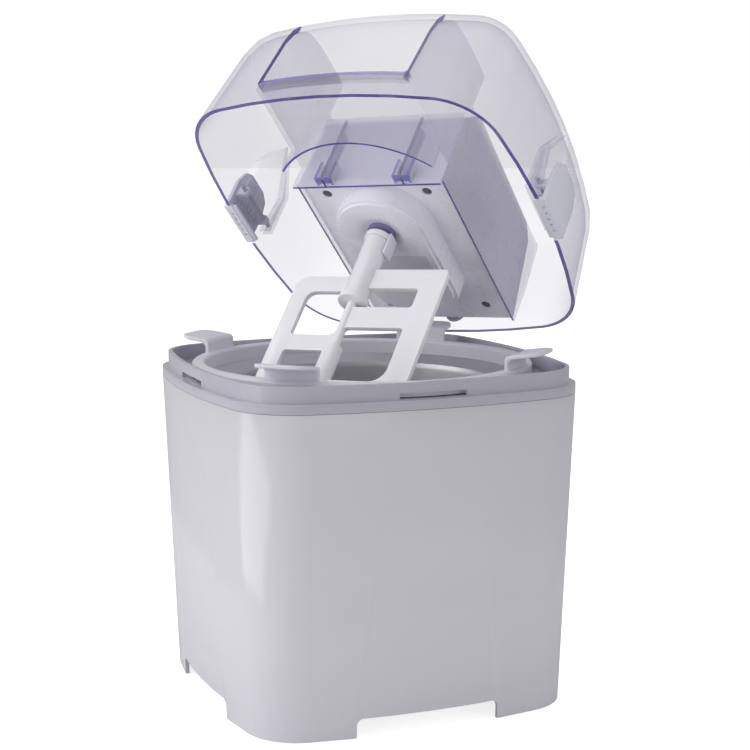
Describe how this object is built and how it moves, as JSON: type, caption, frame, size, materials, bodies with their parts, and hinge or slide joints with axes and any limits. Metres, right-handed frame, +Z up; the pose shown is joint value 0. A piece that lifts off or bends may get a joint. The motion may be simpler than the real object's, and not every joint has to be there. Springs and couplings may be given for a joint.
{
  "type": "ice cream maker",
  "caption": "Square countertop ice cream maker with a lift-out freezer bowl and a clear domed lid that holds the motor and a bladed dasher; lid shown lifted off.",
  "frame": {"origin": "centre of the base on the surface it stands on", "axes": "+Z up, +X to the right and +Y to the back, square to the base's sides"},
  "size_m": [0.2827, 0.2846, 0.4014],
  "materials": {
    "shell": "gloss white",
    "collar": "gloss white",
    "liner": "satin",
    "underside": "satin",
    "pad": "matt",
    "steel": "plated",
    "tabs": "satin",
    "bowl_metal": "anodised",
    "coolant": "gel",
    "clear": "clear plastic",
    "housing": "satin",
    "screw": "blackened",
    "label": "printed film, blank",
    "plate": "plated",
    "bush": "satin",
    "gland": "satin",
    "rocker": "gloss",
    "latch": "satin",
    "gear": "acetal",
    "dasher": "gloss white"
  },
  "bodies": {
    "base": {"outer_shell": "shell", "top_collar": "collar", "well_liner": "liner", "bottom_plate": "underside", "foot_pads": "pad", "base_screws": "steel"},
    "bowl": {"bowl_collar": "tabs", "bowl_inner": "bowl_metal", "bowl_outer": "bowl_metal", "coolant": "coolant"},
    "lid": {"lid_dome": "clear", "feed_chute": "clear", "motor_housing": "housing", "motor_cover": "housing", "cover_screws": "screw", "blank_label": "label", "gear_plate": "plate", "plate_screws": "steel", "motor_can": "steel", "idler_pin": "steel", "shaft_bush": "bush", "cord_gland": "gland", "switch_bezel": "tabs", "latch_pins": "steel"},
    "rocker": {"switch_rocker": "rocker"},
    "left_latch": {"latch_left": "latch"},
    "right_latch": {"latch_right": "latch"},
    "rotor": {"motor_pinion": "gear"},
    "idler": {"idler_gear": "gear"},
    "stirrer": {"drive_wheel": "gear", "drive_shaft": "steel", "dasher": "dasher", "dasher_tab": "tabs"}
  },
  "joints": [
    {"name": "bowl_lift", "type": "slide", "parent": "base", "child": "bowl", "axis": [0, 0, 1], "range_m": [0, 0.16]},
    {"name": "lid_lift", "type": "slide", "parent": "bowl", "child": "lid", "axis": [0, 0, 1], "range_m": [0, 0.18]},
    {"name": "latch_left_flip", "type": "hinge", "parent": "lid", "child": "left_latch", "pos_m": [-0.02507, 0.12515, 0.28329], "axis": [0.5768, 0.4246, -0.6979], "range_deg": [0, 8], "stiffness_Nm_per_rad": 0.2, "springref_deg": -2.86},
    {"name": "latch_right_flip", "type": "hinge", "parent": "lid", "child": "right_latch", "pos_m": [0.10397, -0.03649, 0.29159], "axis": [-0.5768, -0.4246, 0.6979], "range_deg": [0, 8], "stiffness_Nm_per_rad": 0.2, "springref_deg": -2.86},
    {"name": "switch_rock", "type": "hinge", "parent": "lid", "child": "rocker", "pos_m": [0.09283, 0.08884, 0.32425], "axis": [0.6234, -0.7809, 0.0401], "range_deg": [-12, 0]},
    {"name": "dasher_spin", "type": "hinge", "parent": "lid", "child": "stirrer", "pos_m": [0.031, 0.037, 0.276], "axis": [0.5279, 0.4582, 0.7151], "continuous": true},
    {"name": "idler_spin", "type": "hinge", "parent": "lid", "child": "idler", "pos_m": [0.046, 0.04804, 0.25785], "axis": [0.5279, 0.4582, 0.7151], "continuous": true},
    {"name": "motor_spin", "type": "hinge", "parent": "lid", "child": "rotor", "pos_m": [0.06099, 0.05908, 0.23971], "axis": [0.5279, 0.4582, 0.7151], "continuous": true}
  ],
  "couplings": [
    {"joint": "idler_spin", "follows": "dasher_spin", "ratio": -3.3333},
    {"joint": "motor_spin", "follows": "dasher_spin", "ratio": 11.111}
  ]
}
